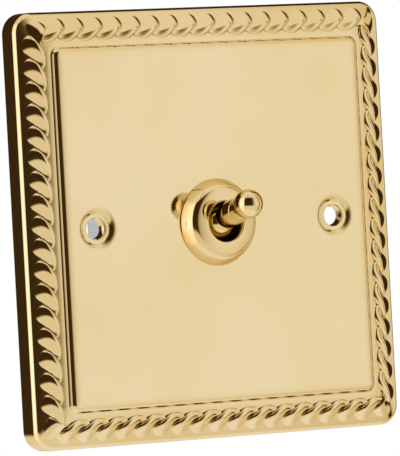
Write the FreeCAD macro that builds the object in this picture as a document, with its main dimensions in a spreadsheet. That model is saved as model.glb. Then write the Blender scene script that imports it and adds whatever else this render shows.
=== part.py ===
import FreeCAD, Part
import Sketcher
import math
import os
import re
from FreeCAD import Placement, Rotation, Vector

# A brass one-gang dolly switch with a rope-edged pressed plate.
# +X is to the right and +Z up, and the front faces -Y. The origin is the centre of the plate's rim on
# the wall, so the wall is the plane Y = 0 and the switch module stands behind it, at Y > 0.

doc = FreeCAD.newDocument("DollySwitch")
sheet = doc.addObject("Spreadsheet::Sheet", "Sizes")
working = doc.addObject("Spreadsheet::Sheet", "Working")

sizes = [
    # Pressed plate
    ("plateSide", 92.4, "outside of the plate"),
    ("plateDepth", 8.0, "wall to the raised field"),
    ("sheetWall", 0.9, "thickness of the brass sheet"),
    ("plateCorner", 4.5, "radius of the plate's corners"),
    ("rimRound", 1.0, "radius along the outer edge"),
    ("rimWidth", 1.1, "outer edge to the rope"),
    ("rimDrop", 2.8, "field down to the top of the rim"),
    ("ropeWidth", 5.2, "width of the sloping band that carries the rope"),
    ("marginDrop", 1.0, "field down to the flat margin inside the rope"),
    ("marginWidth", 1.0, "width of that margin"),
    ("bevelRun", 0.85, "width of the bevel that rises to the field"),
    ("fieldCorner", 1.3, "radius of the field's corners"),
    ("shoulderRound", 1.5, "radius over the field's edge"),
    # Rope
    ("strandCount", 17, "strands along each side, between the corner strands"),
    ("strandHeight", 1.2, "crest of a strand over the band"),
    ("creaseHeight", 0.22, "middle of a crease over the band"),
    ("strandLean", 1.1, "half of the shift of a crease from edge to edge"),
    ("strandBow", 0.45, "bow of a crease to its clockwise side"),
    ("notchHalf", 1.3, "half of the distance between facing notches"),
    ("ropeGap", 0.05, "band left bare beside the rope"),
    ("cornerGap", 2.4, "last crease of a side to the corner of the rope's middle line"),
    ("cornerBulge", 2.9, "a corner strand's outer edge beyond the line between its notches"),
    ("cornerTuck", 0.35, "its inner edge inside the line between its notches"),
    # Fixing holes, as struck for 60.3 mm box centres
    ("fixingCentres", 60.3, "between the fixing holes"),
    ("fixingHole", 4.1, "diameter of a fixing hole"),
    ("fixingMouth", 4.7, "diameter of its mouth"),
    ("fixingSeat", 6.5, "diameter of the flat seat for the screw's head"),
    ("fixingDish", 9.6, "diameter of the soft dish round it"),
    ("dishDepth", 0.45, "depth of the dish"),
    ("seatDepth", 0.2, "depth of the seat below the dish"),
    ("mouthDepth", 0.4, "depth of the mouth below the seat"),
    ("bossWall", 1.0, "wall of the dimple behind the hole"),
    ("bossDepth", 2.7, "field to the back of the dimple"),
    # Rose
    ("roseSide", 18.7, "diameter of the rose"),
    ("roseHeight", 3.6, "field to the lip of the rose"),
    ("roseHole", 8.6, "hole that the dolly stands in"),
    ("roseEdge", 0.1, "straight edge of the rose"),
    ("roseFlank", 6.0, "radius of the steep flank over that edge"),
    ("flankRun", 1.0, "width of the flank"),
    ("flankRise", 2.3, "rise of the flank"),
    ("roseTurn", 2.0, "radius from the flank to the face"),
    ("turnRun", 1.25, "width of that turn"),
    ("turnRise", 0.88, "rise of that turn"),
    ("roseDome", 22.0, "radius of the rose's face"),
    ("roseLip", 0.35, "radius of the lip"),
    ("lipDepth", 1.0, "length of the lip's bore"),
    # Bush, nut and washers
    ("bushThread", 12.0, "diameter of the threaded bush"),
    ("bushBore", 8.9, "bore of the bush"),
    ("platePlay", 0.15, "radial clearance of the plate on the bush"),
    ("threadPlay", 0.03, "radial clearance of what screws or slips on the bush"),
    ("bushFlange", 15.0, "diameter of the bush's flange"),
    ("flangeDepth", 0.8, "thickness of the flange"),
    ("bushSpigot", 10.6, "diameter of the spigot staked in the yoke"),
    ("washerSide", 17.0, "diameter of the lock washer"),
    ("washerDepth", 0.5, "thickness of the washer"),
    ("washerNotch", 1.1, "width and depth of its notches"),
    ("tagDepth", 0.8, "thickness of the earth tag"),
    ("nutAcross", 15.0, "locknut across its flats"),
    ("nutDepth", 2.0, "thickness of the locknut"),
    ("nutGap", 0.2, "locknut to the flange"),
    # Dolly, from the pivot outwards
    ("pivotDrop", 0.5, "field down to the pivot"),
    ("restTilt", 15.2, "lean of the dolly either side of level, in degrees"),
    ("pivotBall", 7.8, "diameter of the pivot ball"),
    ("neckSide", 4.2, "undercut over the pivot ball"),
    ("rootStart", 4.1, "pivot to the root of the shank"),
    ("rootSide", 5.1, "diameter of the root"),
    ("shankStart", 6.9, "pivot to the lip of the shank"),
    ("shankSide", 5.7, "diameter at that lip"),
    ("lipRound", 0.35, "radius of that lip"),
    ("shankTip", 5.2, "diameter of the shank at the groove"),
    ("grooveWidth", 0.3, "width of the groove"),
    ("grooveSide", 4.3, "diameter in the groove"),
    ("ballCentre", 13.5, "pivot to the centre of the ball end"),
    ("ballSide", 6.25, "diameter of the ball end"),
    ("stemSide", 4.4, "diameter of the stem behind the pivot"),
    ("stemEnd", 8.0, "pivot to the end of the stem"),
    ("stemBore", 2.9, "bore of the stem"),
    ("boreStart", 2.6, "pivot to the bottom of the bore"),
    ("pinSide", 1.6, "diameter of the pivot pin"),
    ("pinLength", 11.6, "length of the pivot pin"),
    ("pinPlay", 0.05, "radial clearance of the pin in the bush"),
    # Plunger and spring
    ("plungerSide", 2.8, "diameter of the plunger"),
    ("plungerTip", 11.2, "pivot to the tip of the plunger"),
    ("plungerSeat", 6.4, "pivot to the spring's end of the plunger"),
    ("springSide", 2.5, "outside diameter of the spring"),
    ("springWire", 0.4, "wire of the spring"),
    ("springTurns", 4.5, "turns of the spring"),
    ("seatPlay", 0.05, "clearance at each end of the spring"),
    # Rocker and contacts
    ("rockerPivot", 4.8, "wall to the rocker's edge"),
    ("rockerWall", 0.8, "thickness of the rocker"),
    ("rockerReach", 8.4, "edge to the end of an arm"),
    ("rockerWidth", 5.0, "width of the rocker"),
    ("armLean", 14.0, "lean of each arm, in degrees"),
    ("rockerTilt", 6.0, "tilt of the rocker either side of level, in degrees"),
    ("contactReach", 7.0, "edge to the middle of a contact"),
    ("contactSide", 2.8, "diameter of a contact"),
    ("contactDepth", 0.6, "height of a contact"),
    ("contactStem", 1.4, "diameter of a contact's rivet stem"),
    ("contactGap", 0.25, "closed contacts, as drawn apart"),
    ("edgeGap", 0.1, "rocker's edge to its post"),
    ("stripWall", 1.0, "thickness of the contact strips"),
    ("stripWidth", 4.4, "width of the contact strips"),
    # Terminals
    ("endWall", 4.15, "end of the housing to the nearest terminal block"),
    ("blockWidth", 7.0, "width of a terminal block"),
    ("blockHeight", 6.4, "height of a terminal block"),
    ("blockStart", 11.4, "wall to the front of a block"),
    ("blockDepth", 7.4, "depth of a block"),
    ("screwSide", 3.4, "diameter of a terminal screw"),
    ("screwPlay", 0.03, "radial clearance of a screw in its block"),
    ("screwHead", 5.6, "diameter of its head"),
    ("headDepth", 1.6, "depth of its head"),
    ("screwReach", 3.0, "screw in the block"),
    ("slotWidth", 0.9, "width of the screwdriver slots"),
    ("slotDepth", 0.8, "depth of the screwdriver slots"),
    ("wireHole", 3.6, "diameter of a wire hole"),
    ("wirePlace", 2.6, "front of a block to the middle of its wire hole"),
    # Module
    ("moduleHalf", 15.5, "half of the module's width"),
    ("moduleTall", 36.0, "height of the moulded housing"),
    ("moduleBack", 21.0, "wall to the back of the housing"),
    ("moduleRound", 1.5, "radius of the housing's edges"),
    ("yokeWall", 1.2, "thickness of the steel yoke"),
    ("yokeBend", 1.6, "outer radius of its bends"),
    ("legWidth", 16.0, "width of the yoke's legs"),
    ("legReach", 8.5, "length of the legs behind the yoke's face"),
    ("guardDepth", 1.0, "thickness of the fibre guard"),
    ("guardSlot", 5.4, "width of the guard's slot"),
    ("guardReach", 4.6, "half of the length of that slot"),
    ("chamberHalf", 4.8, "half of the width of the switching chamber"),
    ("chamberTall", 23.0, "height of the chamber"),
    ("chamberDepth", 8.6, "wall to the bottom of the chamber"),
    ("pocketPlay", 0.15, "clearance round a block in its pocket"),
    ("rivetSide", 3.0, "diameter of the yoke's rivets"),
    ("rivetHead", 5.2, "diameter of a rivet's head"),
    ("rivetDrop", 5.0, "yoke's face to the rivets"),
    ("rivetReach", 3.5, "rivet in the housing"),
    # Earth terminal
    ("earthReach", 17.6, "bush to the folded leg of the earth tag"),
    ("earthWidth", 7.0, "width of the earth tag"),
    ("earthLeg", 7.6, "length of its folded leg"),
    ("earthBlock", 6.0, "side of the earth terminal block"),
]

for row, (word, value, note) in enumerate(sizes, start=1):
    sheet.set("A%d" % row, note)
    sheet.set("B%d" % row, str(value))
    sheet.setAlias("B%d" % row, word)
doc.recompute()
words = {word for word, value, note in sizes}


def bound(formula):
    """A formula in the sheet's words, as an expression that an object can be bound to."""
    return re.sub(
        r"[A-Za-z]+", lambda w: "Sizes." + w.group() if w.group() in words else w.group(), formula
    )


def size(formula):
    """The value of a formula in the sheet's words, worked out on a sheet that nothing is bound to."""
    working.set("A1", "=" + bound(formula))
    working.recompute()
    return float(working.get("A1"))


def bind(thing, **formulas):
    for name, formula in formulas.items():
        thing.setExpression(name, bound(formula))
    return thing


def put(thing, x="0", y="0", z="0"):
    """Binds an object's place to formulas."""
    for axis, formula in zip("xyz", (x, y, z)):
        thing.setExpression("Placement.Base." + axis, bound(formula))
    return thing


def box(label, x, y, z):
    """A box from (low, high) formulas along X, Y and Z."""
    thing = doc.addObject("Part::Box", label)
    bind(thing, Length="(%s) - (%s)" % (x[1], x[0]))
    bind(thing, Width="(%s) - (%s)" % (y[1], y[0]))
    bind(thing, Height="(%s) - (%s)" % (z[1], z[0]))
    return put(thing, x[0], y[0], z[0])


turnTo = {"x": Rotation(Vector(0, 1, 0), 90), "y": Rotation(Vector(1, 0, 0), -90), "z": Rotation()}


def rod(label, along, radius, length, x="0", y="0", z="0"):
    """A cylinder that starts at a place and runs along +X, +Y or +Z."""
    thing = doc.addObject("Part::Cylinder", label)
    bind(thing, Radius=radius, Height=length)
    thing.Placement = Placement(Vector(), turnTo[along])
    return put(thing, x, y, z)


def cone(label, frontRadius, backRadius, length, x="0", y="0", z="0"):
    """A cone along +Y."""
    thing = doc.addObject("Part::Cone", label)
    bind(thing, Radius1=frontRadius, Radius2=backRadius, Height=length)
    thing.Placement = Placement(Vector(), turnTo["y"])
    return put(thing, x, y, z)


def frustum(label, backHalf, back, frontHalf, front):
    """A square frustum about Y, from its back face forward to its front face."""
    thing = doc.addObject("Part::Wedge", label)
    bind(thing, Ymin="0", Ymax="(%s) - (%s)" % (back, front))
    bind(thing, Xmin="-(%s)" % frontHalf, Xmax=frontHalf)
    bind(thing, Zmin="-(%s)" % frontHalf, Zmax=frontHalf)
    bind(thing, X2min="-(%s)" % backHalf, X2max=backHalf)
    bind(thing, Z2min="-(%s)" % backHalf, Z2max=backHalf)
    return put(thing, y=front)


def rounded(label, base, wanted, radius):
    """The base with the edges that are wanted rounded."""
    doc.recompute()
    thing = doc.addObject("Part::Fillet", label)
    thing.Base = base
    edges = enumerate(base.Shape.Edges, start=1)
    value = size(radius)
    thing.Edges = [(i, value, value) for i, edge in edges if wanted(edge)]
    return thing


def joined(label, *parts):
    thing = doc.addObject("Part::MultiFuse", label)
    thing.Shapes = list(parts)
    return thing


def without(label, base, *tools):
    thing = doc.addObject("Part::Cut", label)
    thing.Base = base
    thing.Tool = tools[0] if len(tools) == 1 else joined(label + "Tools", *tools)
    return thing


def turned(label, points):
    """A body turned about its own Y axis. Each point is (radius, distance along Y), and a third item
    is the radius of the arc that leads to the point, positive where the arc bulges outwards."""
    body = doc.addObject("PartDesign::Body", label)
    sketch = body.newObject("Sketcher::SketchObject", label + "Profile")
    plane = [f for f in body.Origin.OriginFeatures if f.Role == "XY_Plane"][0]
    sketch.AttachmentSupport = [(plane, "")]
    sketch.MapMode = "FlatFace"
    places = [Vector(size(p[0]), size(p[1]), 0) for p in points]
    for i, point in enumerate(points):
        start, end = places[i - 1], places[i]
        if len(point) == 3:
            bulge = size(point[2])
            chord = end - start
            side = Vector(-chord.y, chord.x, 0).normalize()
            rise = abs(bulge) - math.sqrt(max(bulge * bulge - chord.Length**2 / 4, 0))
            middle = start + chord * 0.5 + side * math.copysign(rise, bulge)
            sketch.addGeometry(Part.Arc(start, middle, end))
        else:
            sketch.addGeometry(Part.LineSegment(start, end))
    count = len(points)
    for i, point in enumerate(points):
        # An arc can be stored the other way round, so its ends are looked up by their place.
        ends = [sketch.getPoint(i, 1), sketch.getPoint(i, 2)]
        last = 2 if (ends[1] - places[i]).Length < (ends[0] - places[i]).Length else 1
        after = (i + 1) % count
        heads = [sketch.getPoint(after, 1), sketch.getPoint(after, 2)]
        first = 1 if (heads[0] - places[i]).Length < (heads[1] - places[i]).Length else 2
        sketch.addConstraint(Sketcher.Constraint("Coincident", i, last, after, first))
        across = sketch.addConstraint(Sketcher.Constraint("DistanceX", -1, 1, i, last, places[i].x))
        sketch.setExpression("Constraints[%d]" % across, bound(point[0]))
        along = sketch.addConstraint(Sketcher.Constraint("DistanceY", -1, 1, i, last, places[i].y))
        sketch.setExpression("Constraints[%d]" % along, bound(point[1]))
        if len(point) == 3:
            arc = sketch.addConstraint(Sketcher.Constraint("Radius", i, abs(size(point[2]))))
            sketch.setExpression("Constraints[%d]" % arc, bound("abs(%s)" % point[2]))
    spin = body.newObject("PartDesign::Revolution", label + "Spin")
    spin.Profile = sketch
    spin.ReferenceAxis = (sketch, ["V_Axis"])
    spin.Angle = 360
    return body


# Heights along Y, from the front of the plate to the back of the guard
field = "-plateDepth"
rimTop = "rimDrop - plateDepth"
marginTop = "marginDrop - plateDepth"
plateBack = "sheetWall - plateDepth"
washerBack = plateBack + " + washerDepth"
tagBack = washerBack + " + tagDepth"
nutBack = tagBack + " + nutDepth"
flangeFront = nutBack + " + nutGap"
yokeFront = flangeFront + " + flangeDepth"
yokeBack = yokeFront + " + yokeWall"
guardBack = yokeBack + " + guardDepth"
pivot = "pivotDrop - plateDepth"

# Half widths of the plate's steps, from the outside in
plateHalf = "plateSide / 2"
ropeOuter = plateHalf + " - rimWidth"
ropeInner = ropeOuter + " - ropeWidth"
bevelOuter = ropeInner + " - marginWidth"
fieldHalf = bevelOuter + " - bevelRun"


def alongY(edge):
    ends = [vertex.Point for vertex in edge.Vertexes]
    return len(ends) == 2 and abs((ends[1] - ends[0]).y) > 0.5 * edge.Length


def inPlane(place):
    """Picks the edges that lie in a plane across Y."""
    level = size(place)
    return lambda edge: abs(edge.BoundBox.YMin - level) + abs(edge.BoundBox.YMax - level) < 1e-5


def square(label, half, front, back):
    return box(label, ("-(%s)" % half, half), (front, back), ("-(%s)" % half, half))


def ropedBlock():
    """The plate's block with its rope. Each strand is a pillow between two leaning creases, and the
    same crease bounds the strands on both of its sides. The rope climbs from the top of the rim to
    the flat margin, and a low step stands round it."""
    middle = size(ropeOuter + " - ropeWidth / 2")
    reach = size("ropeWidth / 2 - ropeGap")
    notch, lean, bow = size("notchHalf"), size("strandLean"), size("strandBow")
    crease = size("creaseHeight")
    crest = size("strandHeight")
    outerLevel, innerLevel = size(rimTop), size(marginTop)
    count = int(size("strandCount"))
    run = size(ropeOuter + " - ropeWidth / 2 - cornerGap")
    along = (0, 0.08, 0.26, 0.5, 0.74, 0.92, 1)
    over = (0, 0.09, 0.32, 0.68, 0.91, 1)

    def swell(share):
        """Rises from 0 at both ends of a strand to 1 in its middle."""
        return max(1 - (2 * share - 1) ** 2, 0) ** 0.6

    def creasePoint(side, along, across):
        """A point of a crease in plan: along the side's clockwise way, and across from the inner
        notch at -1 to the outer notch at 1."""
        a = along + lean * across + bow * (1 - across * across)
        b = middle + notch * across
        turn = math.radians(-90 * side)
        return Vector(
            a * math.cos(turn) - b * math.sin(turn), 0, a * math.sin(turn) + b * math.cos(turn)
        )

    def outward(side):
        turn = math.radians(-90 * side)
        return Vector(-math.sin(turn), 0, math.cos(turn))

    def strand(first, last, outerBulge, innerBulge):
        """Rows of points over one strand between two creases, each (side, place along it)."""
        way = (outward(first[0]) + outward(last[0])).normalize()
        net = []
        for u in along:
            row = []
            for v in over:
                across = 2 * v - 1
                point = creasePoint(*first, across) * (1 - u) + creasePoint(*last, across) * u
                bulge = outerBulge if across > 0 else innerBulge
                point += way * (bulge * across * abs(across) * swell(u))
                height = crease * swell(v) + (crest - crease) * swell(u) * swell(v)
                point.y = outerLevel * v + innerLevel * (1 - v) - height
                row.append(point)
            net.append(row)
        return net

    def facet(*corners):
        return Part.Face(Part.makePolygon(list(corners) + [corners[0]]))

    strands = []
    pitch = 2 * run / count
    for side in range(4):
        for i in range(count):
            first, last = -run + pitch * i, -run + pitch * (i + 1)
            strands.append(strand((side, first), (side, last), reach - notch, reach - notch))
        corner = ((side, run), (side + 1, -run))
        strands.append(strand(*corner, size("cornerBulge"), size("cornerTuck")))

    faces, outer, inner = [], [], []
    for net in strands:
        for low, high in zip(net, net[1:]):
            for i in range(len(over) - 1):
                faces.append(facet(low[i], high[i], high[i + 1]))
                faces.append(facet(low[i], high[i + 1], low[i + 1]))
            inner.append(Part.makeLine(low[0], high[0]))
            outer.append(Part.makeLine(low[-1], high[-1]))
    outline = roundedSquare(size(plateHalf), size("plateCorner"), outerLevel)
    faces += Part.makeFace([outline, Part.Wire(outer)], "Part::FaceMakerBullseye").Faces
    faces.append(Part.Face(Part.Wire(inner)))
    sides = outline.extrude(Vector(0, -outerLevel, 0))
    faces += sides.Faces
    faces.append(Part.Face(roundedSquare(size(plateHalf), size("plateCorner"), 0)))
    block = Part.makeShell(faces)
    block.sewShape()
    block = Part.makeSolid(block if block.ShapeType == "Shell" else block.Shells[0])
    block.fix(1e-4, 1e-4, 1e-4)
    if block.Volume < 0:
        block.reverse()
    return block


def roundedSquare(half, radius, level):
    """A closed wire round Y, from its lower left corner."""
    edges = []
    flat = half - radius
    for side in range(4):
        turn = Rotation(Vector(0, 1, 0), 90 * side)
        line = [turn.multVec(Vector(x, level, half)) for x in (-flat, flat)]
        bend = radius * math.sqrt(0.5)
        arc = [Vector(flat, level, half), Vector(flat + bend, level, flat + bend), Vector(half, level, flat)]
        edges.append(Part.makeLine(*line))
        edges.append(Part.Arc(*[turn.multVec(point) for point in arc]).toShape())
    return Part.Wire(edges)


blockForm = ropedBlock()
roped = doc.addObject("Part::Feature", "roped")
roped.Shape = blockForm


def onOutline(edge):
    end = edge.Vertexes[0].Point
    return inPlane(rimTop)(edge) and max(abs(end.x), abs(end.z)) > size(plateHalf) - 1e-4


rim = rounded("rim", roped, onOutline, "rimRound")
raised = frustum("raisedBlank", bevelOuter, marginTop, fieldHalf, field)
raised = rounded("raisedCorners", raised, alongY, "fieldCorner")
raised = rounded("raised", raised, inPlane(field), "shoulderRound")

# The hollow behind it is stepped, so that the sheet stays about as thick all over
middleLine = ropeOuter + " - ropeWidth / 2"
hollow = joined(
    "hollow",
    rounded(
        "hollowRim",
        square("rimHollow", plateHalf + " - sheetWall", rimTop + " + sheetWall", "sheetWall"),
        alongY,
        "plateCorner - sheetWall",
    ),
    square("ropeHollow", middleLine, "(%s + %s) / 2 + sheetWall" % (rimTop, marginTop), "0"),
    square("marginHollow", bevelOuter, marginTop + " + sheetWall", "0"),
    square("fieldHollow", fieldHalf + " - sheetWall", field + " + sheetWall", "0"),
)

# Holes: the bush's in the middle, and at each side a dimple with a seat and a hole for a screw
bosses = []
holes = [rod("bushHole", "y", "bushThread / 2 + platePlay", "plateDepth", y=field + " - 1")]
for side, sign in (("left", "-"), ("right", "")):
    place = sign + "fixingCentres / 2"
    bossRadius = "fixingHole / 2 + bossWall"
    backOfSheet = field + " + sheetWall / 2"
    bosses.append(
        rod(side + "Boss", "y", bossRadius, "bossDepth - sheetWall / 2", x=place, y=backOfSheet)
    )
    dish = cone(side + "Dish", "fixingDish / 2", "fixingSeat / 2", "dishDepth", place, field)
    dishEnd = field + " + dishDepth"
    seat = rod(side + "Seat", "y", "fixingSeat / 2", "seatDepth", x=place, y=dishEnd)
    seatEnd = dishEnd + " + seatDepth"
    mouth = cone(side + "Mouth", "fixingMouth / 2", "fixingHole / 2", "mouthDepth", place, seatEnd)
    bored = rod(side + "Bore", "y", "fixingHole / 2", "2 * bossDepth", x=place, y=seatEnd)
    holes += [dish, seat, mouth, bored]

pressed = without("pressed", joined("pressedBlank", rim, raised), hollow)
faceplate = without("faceplate", joined("dimpled", pressed, *bosses), *holes)

# Rose: a turned ring nut whose face domes up to a rounded lip
roseFront = field + " - roseHeight"
threadBore = "bushThread / 2 + threadPlay"
rose = turned(
    "rose",
    [
        (threadBore, field),
        ("roseSide / 2", field),
        ("roseSide / 2", field + " - roseEdge"),
        ("roseSide / 2 - flankRun", field + " - roseEdge - flankRise", "roseFlank"),
        (
            "roseSide / 2 - flankRun - turnRun",
            field + " - roseEdge - flankRise - turnRise",
            "roseTurn",
        ),
        ("roseHole / 2 + roseLip", roseFront, "roseDome"),
        ("roseHole / 2", roseFront + " + roseLip", "roseLip"),
        ("roseHole / 2", roseFront + " + lipDepth"),
        (threadBore, roseFront + " + lipDepth"),
    ],
)

# Bush: flanged, staked in the yoke, with a cross hole for the pivot pin
bushBlank = turned(
    "bushBlank",
    [
        ("bushBore / 2", roseFront + " + lipDepth + nutGap / 2"),
        ("bushThread / 2", roseFront + " + lipDepth + nutGap / 2"),
        ("bushThread / 2", flangeFront),
        ("bushFlange / 2", flangeFront),
        ("bushFlange / 2", yokeFront),
        ("bushSpigot / 2", yokeFront),
        ("bushSpigot / 2", yokeBack),
        ("bushBore / 2", yokeBack),
    ],
)
pinBearing = rod("pinBearing", "x", "pinSide / 2 + pinPlay", "bushFlange", "-bushFlange / 2", pivot)
bush = without("bush", bushBlank, pinBearing)


def ring(label, outerRadius, front, depth):
    """A ring round the bush."""
    bore = rod(label + "Bore", "y", threadBore, "3 * (%s)" % depth, y="%s - (%s)" % (front, depth))
    return rod(label + "Blank", "y", outerRadius, depth, y=front), bore


washerBlank, washerBore = ring("lock_washer", "washerSide / 2", plateBack, "washerDepth")
notches = []
for i in range(10):
    notch = box(
        "washerNotch%d" % i,
        ("washerSide / 2 - washerNotch", "washerSide"),
        ("-washerDepth", "2 * washerDepth"),
        ("-washerNotch / 2", "washerNotch / 2"),
    )
    turn = Placement(Vector(0, size(plateBack), 0), Rotation(Vector(0, 1, 0), 36 * i))
    cut = doc.addObject("Part::Feature", "washerGap%d" % i)
    doc.recompute()
    cut.Shape = notch.Shape.copy()
    cut.Placement = turn.multiply(notch.Placement)
    notches.append(cut)
lockWasher = without("lock_washer", washerBlank, washerBore, *notches)

nutBlank = doc.addObject("Part::Prism", "nutBlank")
nutBlank.Polygon = 6
bind(nutBlank, Circumradius="nutAcross / sqrt(3)", Height="nutDepth")
nutBlank.Placement = Placement(Vector(), turnTo["y"])
put(nutBlank, y=tagBack)
locknut = without("locknut", nutBlank, rod("nutBore", "y", threadBore, "3 * nutDepth", y=field))

# Earth tag under the nut, folded back to carry the earth terminal
tagRing, tagBore = ring("earth_tag", "nutAcross / sqrt(3)", washerBack, "tagDepth")
tagHalf = ("-earthWidth / 2", "earthWidth / 2")
tagArm = box("tagArm", ("0", "earthReach + tagDepth"), (washerBack, tagBack), tagHalf)
tagLegEnd = washerBack + " + earthLeg"
tagLeg = box("tagLeg", ("earthReach", "earthReach + tagDepth"), (washerBack, tagLegEnd), tagHalf)
tagSolid = rounded(
    "tagFolded",
    joined("tagBlank", tagRing, tagArm, tagLeg),
    lambda edge: edge.BoundBox.XMin > size("earthReach + tagDepth / 2")
    and edge.BoundBox.YMax < size(washerBack) + 1e-5
    and edge.BoundBox.ZLength > size("earthWidth / 2"),
    "tagDepth",
)
earthTag = without("earth_tag", tagSolid, tagBore)
blockX = ("earthReach + tagDepth", "earthReach + tagDepth + earthBlock")
blockBack = tagBack + " + earthBlock"
earthMiddle = "earthReach + tagDepth + earthBlock / 2"
earthBlank = box("earthBlank", blockX, (tagBack, blockBack), ("-earthBlock / 2", "earthBlock / 2"))
earthTap = rod(
    "earthTap", "y", "screwSide / 2 + screwPlay", "earthBlock", earthMiddle, tagBack + " + wirePlace"
)
earthWire = rod(
    "earthWire", "z", "wireHole / 2", "2 * earthBlock", earthMiddle, tagBack + " + wirePlace", "-earthBlock"
)
earthBlock = without("earth_block", earthBlank, earthTap, earthWire)


def screw(label, back, x="0", z="0"):
    """A slotted terminal screw, whose head stands on a block's back."""
    reach = rod(label + "Shank", "y", "screwSide / 2", "screwReach", x, "%s - screwReach" % back, z)
    head = rod(label + "Head", "y", "screwHead / 2", "headDepth", x, back, z)
    slot = box(
        label + "Slot",
        ("%s - screwHead" % x, "%s + screwHead" % x),
        ("%s + headDepth - slotDepth" % back, "%s + 2 * headDepth" % back),
        ("%s - slotWidth / 2" % z, "%s + slotWidth / 2" % z),
    )
    return without(label, joined(label + "Blank", reach, head), slot)


earthScrew = screw("earth_screw", blockBack, earthMiddle)

# Yoke: a steel strap across the module's front with two folded legs, riveted to the housing
wide = ("-moduleHalf", "moduleHalf")
tall = ("-moduleTall / 2", "moduleTall / 2")
legX = ("-legWidth / 2", "legWidth / 2")
strapHalf = "moduleTall / 2 + yokeWall"
strap = box("strap", legX, (yokeFront, yokeFront + " + legReach"), ("-(%s)" % strapHalf, strapHalf))
strap = rounded(
    "strapBent",
    strap,
    lambda edge: edge.BoundBox.XLength > 1 and edge.BoundBox.YMax < size(yokeFront) + 1e-5,
    "yokeBend",
)
insideStrap = box("insideStrap", ("-legWidth", "legWidth"), (yokeBack, "moduleBack"), tall)
yokeFace = box("yokeFace", wide, (yokeFront, yokeBack), tall)
rivetPlace = yokeFront + " + rivetDrop"
rivetBottom = "moduleTall / 2 - rivetReach"
yokeHole = rod("yokeHole", "y", "bushSpigot / 2", "2 * yokeWall", y=yokeFront + " - yokeWall / 2")
rivetWays = {}
for node, play in (("yoke", "screwPlay"), ("housing", "screwPlay")):
    rivetWays[node] = [
        rod("upRivet" + node, "z", "rivetSide / 2 + " + play, "moduleTall", y=rivetPlace, z=rivetBottom),
        rod(
            "downRivet" + node,
            "z",
            "rivetSide / 2 + " + play,
            "moduleTall",
            y=rivetPlace,
            z="-moduleTall - (%s)" % rivetBottom,
        ),
    ]
bent = without("yokeBent", strap, insideStrap)
yoke = without("yoke", joined("yokeBlank", bent, yokeFace), yokeHole, *rivetWays["yoke"])


def group(label, *parts):
    """Separate solids that share one node."""
    thing = doc.addObject("Part::Compound", label)
    thing.Links = list(parts)
    return thing


rivets = []
for side, shankFrom, headFrom in (
    ("up", rivetBottom, strapHalf),
    ("down", "-(%s)" % strapHalf, "-(%s) - headDepth / 2" % strapHalf),
):
    shank = rod(side + "Shank", "z", "rivetSide / 2", "rivetReach + yokeWall", y=rivetPlace, z=shankFrom)
    head = rod(side + "RivetHead", "z", "rivetHead / 2", "headDepth / 2", y=rivetPlace, z=headFrom)
    rivets.append(joined(side + "Rivet", shank, head))
yokeRivets = group("yoke_rivets", *rivets)

# Guard: a fibre sheet between the yoke and the housing, slotted for the dolly's stem
guardBlank = box("guardBlank", wide, (yokeBack, guardBack), tall)
slotHole = box(
    "guardSlotHole",
    ("-guardSlot / 2", "guardSlot / 2"),
    (yokeFront, guardBack + " + guardDepth"),
    ("-guardReach", "guardReach"),
)
guard = without(
    "guard", guardBlank, rounded("guardSlotRound", slotHole, alongY, "guardSlot / 2 - screwPlay")
)

# Dolly, turned in one piece about its own axis from the ball end to the bored stem
ballNeck = "(ballCentre - sqrt(ballSide ^ 2 - grooveSide ^ 2) / 2)"
shankEnd = "(%s - grooveWidth)" % ballNeck
dollyBlank = turned(
    "dollyBlank",
    [
        ("0", "-(ballCentre + ballSide / 2)"),
        ("grooveSide / 2", "-" + ballNeck, "-ballSide / 2"),
        ("grooveSide / 2", "-" + shankEnd),
        ("shankTip / 2", "-" + shankEnd),
        ("shankSide / 2", "-(shankStart + lipRound)"),
        ("shankSide / 2 - lipRound", "-shankStart", "-lipRound"),
        ("rootSide / 2", "-shankStart"),
        ("rootSide / 2", "-rootStart"),
        ("neckSide / 2", "-rootStart"),
        ("neckSide / 2", "-sqrt(pivotBall ^ 2 - neckSide ^ 2) / 2"),
        ("stemSide / 2", "sqrt(pivotBall ^ 2 - stemSide ^ 2) / 2", "-pivotBall / 2"),
        ("stemSide / 2", "stemEnd"),
        ("stemBore / 2", "stemEnd"),
        ("stemBore / 2", "boreStart"),
        ("0", "boreStart"),
    ],
)
pinHole = rod("pinHole", "x", "pinSide / 2", "2 * pivotBall", "-pivotBall")
dolly = without("dolly", dollyBlank, pinHole)
pivotPin = rod("pivot_pin", "x", "pinSide / 2", "pinLength", "-pinLength / 2", pivot)
plunger = turned(
    "plunger",
    [
        ("0", "plungerSeat"),
        ("plungerSide / 2", "plungerSeat"),
        ("plungerSide / 2", "plungerTip - plungerSide / 2"),
        ("0", "plungerTip", "-plungerSide / 2"),
    ],
)


def coil():
    """The plunger's spring, a helix of six-sided wire about Y."""
    wire = size("springWire / 2")
    length = size("plungerSeat - boreStart - 2 * seatPlay - springWire")
    radius = size("(springSide - springWire) / 2")
    helix = Part.makeHelix(length / size("springTurns"), length, radius)
    corners = [
        Vector(radius + wire * math.cos(math.radians(60 * i)), 0, wire * math.sin(math.radians(60 * i)))
        for i in range(6)
    ]
    section = Part.makePolygon(corners + corners[:1])
    spring = Part.Wire(helix.Edges).makePipeShell([section], True, True)
    spring.Placement = Placement(
        Vector(0, size("boreStart + seatPlay + springWire / 2"), 0), turnTo["y"]
    )
    return spring


springForm = coil()
plungerSpring = doc.addObject("Part::Feature", "plunger_spring")
plungerSpring.Shape = springForm

# The dolly and what it carries lean back to its up position about the pivot
lean = Placement(Vector(0, size(pivot), 0), Rotation(Vector(1, 0, 0), -size("restTilt")))
for thing in (dolly, plunger):
    thing.Placement = lean
plungerSpring.Placement = lean.multiply(plungerSpring.Placement)


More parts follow.
